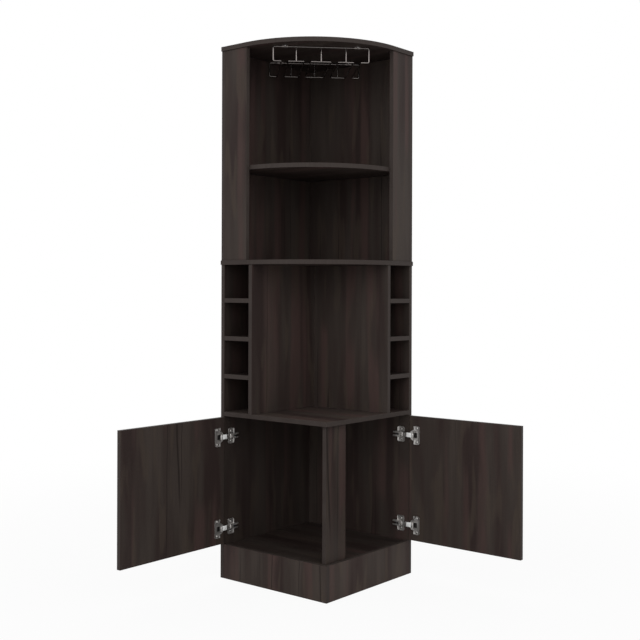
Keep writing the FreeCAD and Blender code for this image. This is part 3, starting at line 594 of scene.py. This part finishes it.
def face_out(shape):
    """Turns the faces of a sheet to the side that is seen."""
    bmesh.ops.recalc_face_normals(shape, faces=shape.faces[:])
    if sum(face.normal.y * face.calc_area() for face in shape.faces) < 0:
        bmesh.ops.reverse_faces(shape, faces=shape.faces[:])


def raise_rim(shape, width, height):
    """Dishes a sheet, so that a rim stands up along its border."""
    face_out(shape)
    bmesh.ops.inset_region(
        shape, faces=shape.faces[:], use_boundary=True, use_even_offset=True, thickness=width, depth=-height)


def turn_up(shape, fold, slope, where=lambda corner: True):
    """Bends a border up from a fold line across the sheet."""
    for corner in shape.verts:
        if corner.co.x > fold and where(corner.co):
            corner.co.y += slope * (corner.co.x - fold)


def thicken(shape, thickness):
    """Gives a sheet its thickness, away from the side that is seen."""
    face_out(shape)
    bmesh.ops.solidify(shape, geom=shape.faces[:], thickness=thickness)


def soften(shape, width):
    """Breaks the sharp edges with a small round."""
    sharp = [edge for edge in shape.edges if edge.is_manifold and edge.calc_face_angle() > SHARP_ANGLE]
    bmesh.ops.bevel(
        shape, geom=sharp, offset=width, segments=EDGE_STEPS, profile=0.5, affect="EDGES", material=-1,
        clamp_overlap=True)


print("pressing helpers ready")

# %% [markdown]
# ### Putting a piece in place
# A hinge piece can have several parts, such as a sheet and a block. They could stay separate objects, but
# they move as one, so they are joined into one mesh. The finished piece is turned to its side, and its
# normals are worked out again, because the left side is a mirror image. Then it rides on the body that it
# moves with and stands in for its solid.

# %% Joining helpers
WELD = 0.001 * MM
CREASE_ANGLE = math.radians(35)


def block(low, high):
    """A box between two corners."""
    shape = bmesh.new()
    sized = Matrix.Translation((low + high) / 2) @ Matrix.Diagonal((*(high - low), 1.0))
    bmesh.ops.create_cube(shape, size=1.0, matrix=sized)
    return shape


def join(shape, other):
    """Adds another drawn shape to a shape."""
    carried = bpy.data.meshes.new("carried")
    other.to_mesh(carried)
    other.free()
    shape.from_mesh(carried)
    bpy.data.meshes.remove(carried)


def add_hinge_piece(name, shape, side, body, node, slot, *finishes):
    """Turns a drawn hinge piece to its side of the cabinet and puts it in the place of its solid."""
    bmesh.ops.transform(shape, matrix=HINGE_AXES[side].to_4x4(), verts=shape.verts[:])
    bmesh.ops.remove_doubles(shape, verts=shape.verts[:], dist=WELD)
    bmesh.ops.recalc_face_normals(shape, faces=shape.faces[:])
    mesh = bpy.data.meshes.new(name)
    shape.to_mesh(mesh)
    shape.free()
    mesh.shade_smooth()
    mesh.set_sharp_from_angle(angle=CREASE_ANGLE)
    for finish in finishes:
        mesh.materials.append(finish)
    piece = bpy.data.objects.new(name, mesh)
    bpy.context.scene.collection.objects.link(piece)
    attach(piece, body)
    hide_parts(node)


print("joining helpers ready")

# %% [markdown]
# ### The flange
# The flange is one stamping: a strip with a rounded lobe at each end, a round bulge over the cup, and a
# window that shows the dark inside of the cup. A rim is pressed up along its border, and each lobe ends in a
# lip that is turned up a little. A plain plate with a hole would be quicker, but it would look flat.

# %% Flange
FLANGE_THICKNESS = 1.5 * MM
FLANGE_EDGE = 0.35 * MM
STRIP_WIDTH = 23.0 * MM
LOBE_RADIUS = 6.0 * MM
BULGE_RADIUS = 18.3 * MM
WINDOW_LENGTH = 14.0 * MM
WINDOW_HALF = 8.6 * MM
RIM_WIDTH = 1.6 * MM
RIM_HEIGHT = 0.4 * MM
LIP_WIDTH = 1.8 * MM
LIP_SLOPE = 0.50
NEARLY_ALL = 0.97
SAME = 0.01 * MM


def near(value, target):
    """True where two lengths are the same to a hundredth of a millimetre."""
    return abs(value - target) < SAME


def flange(low, high, door_face):
    """The stamped flange on the face of a door, between the ends of its solid."""
    middle_up = (low.z + high.z) / 2
    lobe_end = (high.z - low.z) / 2
    strip_end = low.x + STRIP_WIDTH
    lip_fold = strip_end - LIP_WIDTH
    window_from = strip_end - WINDOW_LENGTH

    def off_middle(at):
        """How far a point lies above or below the middle."""
        return abs(at.z - middle_up)

    shape = flat_sheet((low.x, high.x), (low.z, high.z), door_face + FLANGE_THICKNESS + RIM_HEIGHT)
    score(shape, ALONG, [strip_end])
    score(shape, UP, [middle_up - BULGE_RADIUS, middle_up + BULGE_RADIUS])
    stamp_out(shape, lambda at: at.x > strip_end and off_middle(at) > BULGE_RADIUS)
    score(shape, ALONG, [lip_fold], lambda at: off_middle(at) > BULGE_RADIUS)
    score(shape, ALONG, [window_from], lambda at: off_middle(at) < WINDOW_HALF and at.x < strip_end)
    score(shape, UP, [middle_up - WINDOW_HALF, middle_up + WINDOW_HALF],
          lambda at: at.x < strip_end and off_middle(at) < BULGE_RADIUS)
    stamp_out(shape, lambda at: window_from < at.x < strip_end and off_middle(at) < WINDOW_HALF)
    round_corners(shape, LOBE_RADIUS, lambda at: near(off_middle(at), lobe_end) and near(at.x, low.x))
    # The next two rounds stop just short of the whole edge that they start from.
    round_corners(shape, NEARLY_ALL * LIP_WIDTH,
                  lambda at: near(off_middle(at), lobe_end) and near(at.x, strip_end))
    round_corners(shape, NEARLY_ALL * (high.x - strip_end), lambda at: near(at.x, high.x))
    raise_rim(shape, RIM_WIDTH, RIM_HEIGHT)
    turn_up(shape, lip_fold, LIP_SLOPE, lambda at: off_middle(at) > BULGE_RADIUS + RIM_WIDTH)
    thicken(shape, FLANGE_THICKNESS)
    soften(shape, FLANGE_EDGE)
    return shape


print("flange ready")

# %% [markdown]
# ### The cup
# The cup is a round can that sits in a bore in the door. It could be a hollowed cylinder, but that has a
# sharp corner at its floor. Here a short profile of wall, broken corner and floor is spun round once. The cup
# is darker than the flange as painted shade, so its faces take the second material of the piece.

# %% Cup
CUP_WALL = 0.8 * MM
CUP_CORNER = 2.0 * MM
CUP_STEPS = 36
# The cup takes the second material, the dark steel that paints the shade inside it.
CUP_SHADE_INDEX = 1


def turned_cup(rim_middle, floor_out, radius):
    """The cup: a wall, a broken corner and a floor, spun about the way out of the door."""
    shape = bmesh.new()
    outline = [
        (radius, rim_middle.y),
        (radius, floor_out + CUP_CORNER),
        (radius - CUP_CORNER, floor_out),
        (0.0, floor_out),
    ]
    offsets = [Vector((reach, out - rim_middle.y, 0.0)) for reach, out in outline]
    points = [shape.verts.new(rim_middle + offset) for offset in offsets]
    edges = [shape.edges.new(pair) for pair in zip(points, points[1:])]
    bmesh.ops.spin(
        shape, geom=points + edges, cent=rim_middle, axis=OUT, angle=2 * math.pi, steps=CUP_STEPS,
        use_merge=True)
    bmesh.ops.remove_doubles(shape, verts=shape.verts[:], dist=WELD)
    bmesh.ops.recalc_face_normals(shape, faces=shape.faces[:])
    bmesh.ops.solidify(shape, geom=shape.faces[:], thickness=CUP_WALL)
    for facet in shape.faces:
        facet.material_index = CUP_SHADE_INDEX
    return shape


print("cup ready")

# %% [markdown]
# ### The ears
# Two upright ears on the bulge hold the pin of the link. They could be bent up from the sheet of the flange,
# but that takes many cuts for two small tabs, so each is a block. Its top corners are rounded over nearly
# its whole width.

# %% Ears, and the flange put together
EAR_HALF_WIDTH = 3.5 * MM
EAR_THICKNESS = 1.5 * MM
EAR_INSIDE = 7.3 * MM
EAR_ROUND = 0.9 * EAR_HALF_WIDTH


def ear(pin_along, door_face, top, bottom_up):
    """One upright ear with a round top, above or below the middle of the hinge."""
    low = Vector((pin_along - EAR_HALF_WIDTH, door_face, bottom_up))
    high = Vector((pin_along + EAR_HALF_WIDTH, top, bottom_up + EAR_THICKNESS))
    shape = block(low, high)
    top_corners = [edge for edge in shape.edges if all(near(end.co.y, top) for end in edge.verts)
                   and near(edge.verts[0].co.x, edge.verts[1].co.x)]
    bmesh.ops.bevel(
        shape, geom=top_corners, offset=EAR_ROUND, segments=CORNER_STEPS, profile=0.5, affect="EDGES",
        material=-1)
    return shape


def flange_with_cup(side, level):
    """The stamped flange, the two ears on it and the cup below it."""
    low, high = hinge_box(side, f"{side}_{level}_hinge_cup")
    link_low, link_high = hinge_box(side, f"{side}_{level}_hinge_link")
    door_face = hinge_box(side, f"{side}_door")[1].y
    middle_up = (low.z + high.z) / 2
    pin_along = link_low.x + (link_high.y - link_low.y) / 2
    shape = flange(low, high, door_face)
    for bottom_up in (middle_up + EAR_INSIDE, middle_up - EAR_INSIDE - EAR_THICKNESS):
        join(shape, ear(pin_along, door_face, high.y, bottom_up))
    rim_middle = Vector((high.x - BULGE_RADIUS, door_face, middle_up))
    join(shape, turned_cup(rim_middle, low.y, BULGE_RADIUS - FLANGE_THICKNESS))
    return shape


for side, level in HINGES:
    add_hinge_piece(f"{side}_{level}_cup_flange", flange_with_cup(side, level), side, f"{side}_door",
                    f"{side}_{level}_hinge_cup", "nickel_hinge", metals["nickel_hinge"], painted_shade_cup)
print(f"{len(HINGES)} flanges with cups")

# %% [markdown]
# ### The link
# The link is the piece between the cup and the arm: a short strap, wider and bowed in the middle, with a
# rolled eye at each end. A flat strap would be simpler, but it would mirror only the dark board across from
# it, and a bowed face mirrors more of what is around it.

# %% Link shapes
LINK_NECK_HALF = 6.4 * MM
LINK_WAIST_HALF = 7.7 * MM
LINK_CROWN = 1.3 * MM
WIDE_LIMIT = 1.001
EYE_SIDES = 28
EYE_EDGE = 0.4 * MM


def rolled_eye(place, radius):
    """The rolled end of the strap, with its rims broken."""
    shape = bmesh.new()
    bmesh.ops.create_cone(
        shape, cap_ends=True, segments=EYE_SIDES, radius1=radius, radius2=radius, depth=2 * LINK_NECK_HALF,
        matrix=Matrix.Translation(place))
    soften(shape, EYE_EDGE)
    return shape


def bow(shape, wide_from, wide_to, middle_up, wide_half):
    """Narrows the ends of a strap, and draws in and crowns its wide middle."""
    for corner in shape.verts:
        height = (corner.co.z - middle_up) / wide_half
        # The wide middle runs from -1 to 1, and the limit is a hair more, so that its ends count as wide.
        along = 2 * (corner.co.x - wide_from) / (wide_to - wide_from) - 1
        half = LINK_NECK_HALF
        if abs(along) < WIDE_LIMIT:
            half = LINK_WAIST_HALF + (wide_half - LINK_WAIST_HALF) * along ** 2
            corner.co.y += LINK_CROWN * (1 - along ** 2) * (1 - height ** 2 / 2)
        corner.co.z = middle_up + height * half


print("eye and bow ready")

# %% [markdown]
# The strap starts as a flat sheet. It could be bent as one face, but a bow needs edges to bend at, so the
# sheet is first scored into short steps along it and rows up it. Only a stretch of the wide part, on the side
# of the cup, is bright. The rest is nickel like the arm.

# %% Link
LINK_THICKNESS = 1.6 * MM
LINK_EDGE = 0.3 * MM
LINK_STEPS = 8
HALF_ROWS = 3
NECK_LENGTH = 4.7 * MM
TAIL_LENGTH = 13.0 * MM
TAIL_RADIUS = 2.5 * MM
BRIGHT_LENGTH = 20.0 * MM
BRIGHT_FINISH = 0
NICKEL_FINISH = 1


def bowed_link(side, level):
    """The strap with its wide bowed middle, and its two eyes."""
    low, high = hinge_box(side, f"{side}_{level}_hinge_link")
    middle = (low + high) / 2
    head = low.x + (high.y - low.y) / 2
    tail = high.x - TAIL_RADIUS
    wide_from = head + NECK_LENGTH
    wide_to = tail - TAIL_LENGTH
    wide_half = (high.z - low.z) / 2
    shape = flat_sheet((head, tail), (low.z, high.z), middle.y + LINK_THICKNESS / 2)
    steps = [wide_from + (wide_to - wide_from) * step / LINK_STEPS for step in range(LINK_STEPS + 1)]
    score(shape, ALONG, [wide_from - LINK_THICKNESS / 2, *steps, wide_to + LINK_THICKNESS / 2])
    score(shape, UP, [middle.z + wide_half * row / HALF_ROWS for row in range(1 - HALF_ROWS, HALF_ROWS)])
    bow(shape, wide_from, wide_to, middle.z, wide_half)
    thicken(shape, LINK_THICKNESS)
    soften(shape, LINK_EDGE)
    join(shape, rolled_eye(Vector((head, middle.y, middle.z)), head - low.x))
    join(shape, rolled_eye(Vector((tail, middle.y, middle.z)), TAIL_RADIUS))
    for facet in shape.faces:
        from_neck = facet.calc_center_median().x - wide_from
        facet.material_index = BRIGHT_FINISH if 0 < from_neck < BRIGHT_LENGTH else NICKEL_FINISH
    return shape


for side, level in HINGES:
    add_hinge_piece(f"{side}_{level}_bowed_link", bowed_link(side, level), side, f"{side}_{level}_link",
                    f"{side}_{level}_hinge_link", "bright_link",
                    metals["bright_link"], metals["nickel_hinge"])
print(f"{len(HINGES)} bowed links")

# %% [markdown]
# ### The arm
# The arm is a strip folded down along both sides into a channel. Its nose is open, so that the link can
# move out of it, and its tail is a fork, so that it can be slid under a screw. A hollowed block would have
# sharp folds, so the arm is made as the real strip is: after the cuts, the two long borders are drawn down
# and the fold lines are rounded.

# %% Arm
ARM_THICKNESS = 1.4 * MM
ARM_EDGE = 0.2 * MM
FOLD_RADIUS = 1.2 * MM
FOLD_STEPS = 4
NOSE_LENGTH = 12.0 * MM
NOSE_HALF = 7.5 * MM
FORK_LENGTH = 11.0 * MM
FORK_HALF = 3.6 * MM


def fold_down(shape, borders, depth):
    """Draws the borders of a strip down and rounds the fold lines."""
    folded = bmesh.ops.extrude_edge_only(shape, edges=borders)
    drawn = [part for part in folded["geom"] if isinstance(part, bmesh.types.BMVert)]
    bmesh.ops.translate(shape, verts=drawn, vec=-depth * OUT)
    bmesh.ops.recalc_face_normals(shape, faces=shape.faces[:])
    bmesh.ops.bevel(
        shape, geom=[edge for edge in borders if edge.is_valid], offset=FOLD_RADIUS, segments=FOLD_STEPS,
        profile=0.5, affect="EDGES", material=-1, clamp_overlap=True)


def channel_arm(side, level):
    """A strip with an open nose and a forked tail, folded down along both sides."""
    low, high = hinge_box(side, f"{side}_{level}_hinge_arm")
    middle_up = (low.z + high.z) / 2
    nose = low.x + NOSE_LENGTH
    fork = high.x - FORK_LENGTH
    shape = flat_sheet((low.x, high.x), (low.z, high.z), high.y)
    score(shape, ALONG, [nose, fork])
    score(shape, UP, [middle_up - NOSE_HALF, middle_up + NOSE_HALF], lambda at: at.x < nose)
    score(shape, UP, [middle_up - FORK_HALF, middle_up + FORK_HALF], lambda at: at.x > fork)
    stamp_out(shape, lambda at: at.x < nose and abs(at.z - middle_up) < NOSE_HALF)
    stamp_out(shape, lambda at: at.x > fork and abs(at.z - middle_up) < FORK_HALF)
    borders = [edge for edge in shape.edges
               if near(edge.verts[0].co.z, edge.verts[1].co.z)
               and near(abs(edge.verts[0].co.z - middle_up), high.z - middle_up)]
    fold_down(shape, borders, high.y - low.y)
    thicken(shape, ARM_THICKNESS)
    soften(shape, ARM_EDGE)
    return shape


print("arm ready")

# %% [markdown]
# ### The wall plate
# The plate below the arm has rounded corners and a pressed rim, and one border is turned up like the lips of
# the flange. A rib in its middle guides the arm, and stops short of the arm's fork, so that the slot of the
# fork stays open. The rib could be pressed from the sheet too, but the arm covers it, so a block that is
# joined to the plate is enough.

# %% Plate, with the arm on it
PLATE_LENGTH = 27.0 * MM
PLATE_CORNER = 5.0 * MM
PLATE_THICKNESS = 2.0 * MM
PLATE_RIM = 0.5 * MM
PLATE_EDGE = 0.35 * MM
RIB_FROM = 15.0 * MM
RIB_TO = 29.0 * MM
RIB_HALF = 7.0 * MM
RIB_EDGE = 1.0 * MM


def wall_plate(side, level):
    """The plate with its pressed rim, and the rib that guides the arm."""
    low, high = hinge_box(side, f"{side}_{level}_hinge_plate")
    middle_up = (low.z + high.z) / 2
    plate_end = low.x + PLATE_LENGTH
    lip_fold = plate_end - LIP_WIDTH
    shape = flat_sheet((low.x, plate_end), (low.z, high.z), low.y + PLATE_THICKNESS + PLATE_RIM)
    round_corners(shape, PLATE_CORNER, lambda at: True)
    raise_rim(shape, RIM_WIDTH, PLATE_RIM)
    score(shape, ALONG, [lip_fold])
    turn_up(shape, lip_fold, LIP_SLOPE)
    thicken(shape, PLATE_THICKNESS)
    soften(shape, PLATE_EDGE)
    rib_low = Vector((low.x + RIB_FROM, low.y, middle_up - RIB_HALF))
    rib_high = Vector((low.x + RIB_TO, high.y, middle_up + RIB_HALF))
    rib = block(rib_low, rib_high)
    soften(rib, RIB_EDGE)
    join(shape, rib)
    return shape


for side, level in HINGES:
    add_hinge_piece(f"{side}_{level}_channel_arm", channel_arm(side, level), side, "cabinet",
                    f"{side}_{level}_hinge_arm", "nickel_hinge", metals["nickel_hinge"])
    add_hinge_piece(f"{side}_{level}_wall_plate", wall_plate(side, level), side, "cabinet",
                    f"{side}_{level}_hinge_plate", "nickel_hinge", metals["nickel_hinge"])
print(f"{len(HINGES)} arms on their plates")

# %% [markdown]
# ## Floor
# The cabinet stands on a white sweep. The floor is a wide disc whose far part turns into the same white as
# the backdrop, so no horizon shows, while near the cabinet it still takes a soft shadow. A curved paper
# sweep could be modelled instead, but it would stand in the way of the views from behind.

# %% Floor finish
CABINET_MIDDLE = Vector((0.25, -0.25, 0.9))
SHADOW_FROM = 0.9
SHADOW_TO = 3.0
WHITE_NEAR = 0.93
PLAIN_WHITE = 1.0
FLOOR_GREY = (0.60, 0.60, 0.60, 1.0)


def white_sweep():
    """A floor that the camera sees as nearly white, and that is a matte pale grey to all other light."""
    material, tree = empty_material("white_sweep")
    where = add_node(tree, "ShaderNodeTexCoord")
    from_middle = add_node(tree, "ShaderNodeVectorMath", {
        0: where.outputs["Object"], 1: (CABINET_MIDDLE.x, CABINET_MIDDLE.y, 0.0)}, operation="DISTANCE")
    whiteness = add_node(tree, "ShaderNodeMapRange", {
        "Value": from_middle.outputs["Value"], "From Min": SHADOW_FROM, "From Max": SHADOW_TO,
        "To Min": WHITE_NEAR, "To Max": PLAIN_WHITE}, interpolation_type="SMOOTHSTEP")
    rays = add_node(tree, "ShaderNodeLightPath")
    seen_share = both(tree, whiteness.outputs["Result"], rays.outputs["Is Camera Ray"])
    matte = add_node(tree, "ShaderNodeBsdfDiffuse", {"Color": FLOOR_GREY})
    white = add_node(tree, "ShaderNodeEmission", {"Strength": PLAIN_WHITE})
    mix = add_node(tree, "ShaderNodeMixShader", {
        0: seen_share, 1: matte.outputs["BSDF"], 2: white.outputs["Emission"]})
    add_node(tree, "ShaderNodeOutputMaterial", {"Surface": mix.outputs["Shader"]})
    return material


floor_finish = white_sweep()
print(f"floor finish, plain white from {SHADOW_TO:g} m on")

# %% [markdown]
# The floor could be a square, but the border of a disc is about equally far from the cabinet in every view.

# %% Floor
FLOOR_RADIUS = 14.0
FLOOR_SIDES = 96

floor_shape = bmesh.new()
bmesh.ops.create_circle(floor_shape, cap_ends=True, segments=FLOOR_SIDES, radius=FLOOR_RADIUS)
floor_mesh = bpy.data.meshes.new("floor")
floor_shape.to_mesh(floor_mesh)
floor_shape.free()
floor_mesh.materials.append(floor_finish)
floor = bpy.data.objects.new("floor", floor_mesh)
bpy.context.scene.collection.objects.link(floor)
print(f"floor of {FLOOR_RADIUS:g} m radius")

# %% [markdown]
# ## Backdrop
# A studio backdrop is white and also lights the object. One white world could do both, but then a whiter
# backdrop would also mean more light on the boards. So what the camera and the metal see of it is plain
# white, and the even glow that falls on the boards has a strength of its own.

# %% World
GLOW = 0.97
WHITE = (1.0, 1.0, 1.0, 1.0)

world = bpy.data.worlds.new("white_studio")
bpy.context.scene.world = world
world.use_nodes = True
sky = world.node_tree
sky.nodes.clear()
sky_rays = add_node(sky, "ShaderNodeLightPath")
seen_or_mirrored = add_node(sky, "ShaderNodeMath", {
    0: sky_rays.outputs["Is Camera Ray"], 1: sky_rays.outputs["Is Glossy Ray"]}, operation="MAXIMUM")
seen_through = add_node(sky, "ShaderNodeMath", {
    0: seen_or_mirrored.outputs["Value"], 1: sky_rays.outputs["Is Transmission Ray"]}, operation="MAXIMUM")
glow = add_node(sky, "ShaderNodeBackground", {"Color": WHITE, "Strength": GLOW})
backdrop = add_node(sky, "ShaderNodeBackground", {"Color": WHITE, "Strength": PLAIN_WHITE})
sky_mix = add_node(sky, "ShaderNodeMixShader", {
    0: seen_through.outputs["Value"], 1: glow.outputs["Background"], 2: backdrop.outputs["Background"]})
add_node(sky, "ShaderNodeOutputWorld", {"Surface": sky_mix.outputs["Shader"]})
print(f"white backdrop with a glow of {GLOW:g}")

# %% [markdown]
# ## Lamps
# Two large soft lamps stand in front of the cabinet, the stronger one on the left, so that its two sides
# differ in tone. Small lamps or a sun could do that too, but they would draw hard shadows into the open
# shelves.

# %% Lamps
LAMP_WIDTH = 2.0
LAMP_HEIGHT = 2.4
LAMPS = {
    "right_lamp": (Vector((3.4, -1.6, 2.6)), 20.0),
    "left_lamp": (Vector((1.0, -3.6, 2.4)), 29.0),
}


def soft_lamp(name, place, watts):
    """A large rectangular lamp that faces the cabinet."""
    data = bpy.data.lights.new(name, "AREA")
    data.shape = "RECTANGLE"
    data.size = LAMP_WIDTH
    data.size_y = LAMP_HEIGHT
    data.energy = watts
    lamp = bpy.data.objects.new(name, data)
    lamp.location = place
    lamp.rotation_euler = (CABINET_MIDDLE - place).to_track_quat("-Z", "Y").to_euler()
    bpy.context.scene.collection.objects.link(lamp)


for name, (place, watts) in LAMPS.items():
    soft_lamp(name, place, watts)
print(f"{len(LAMPS)} soft lamps")
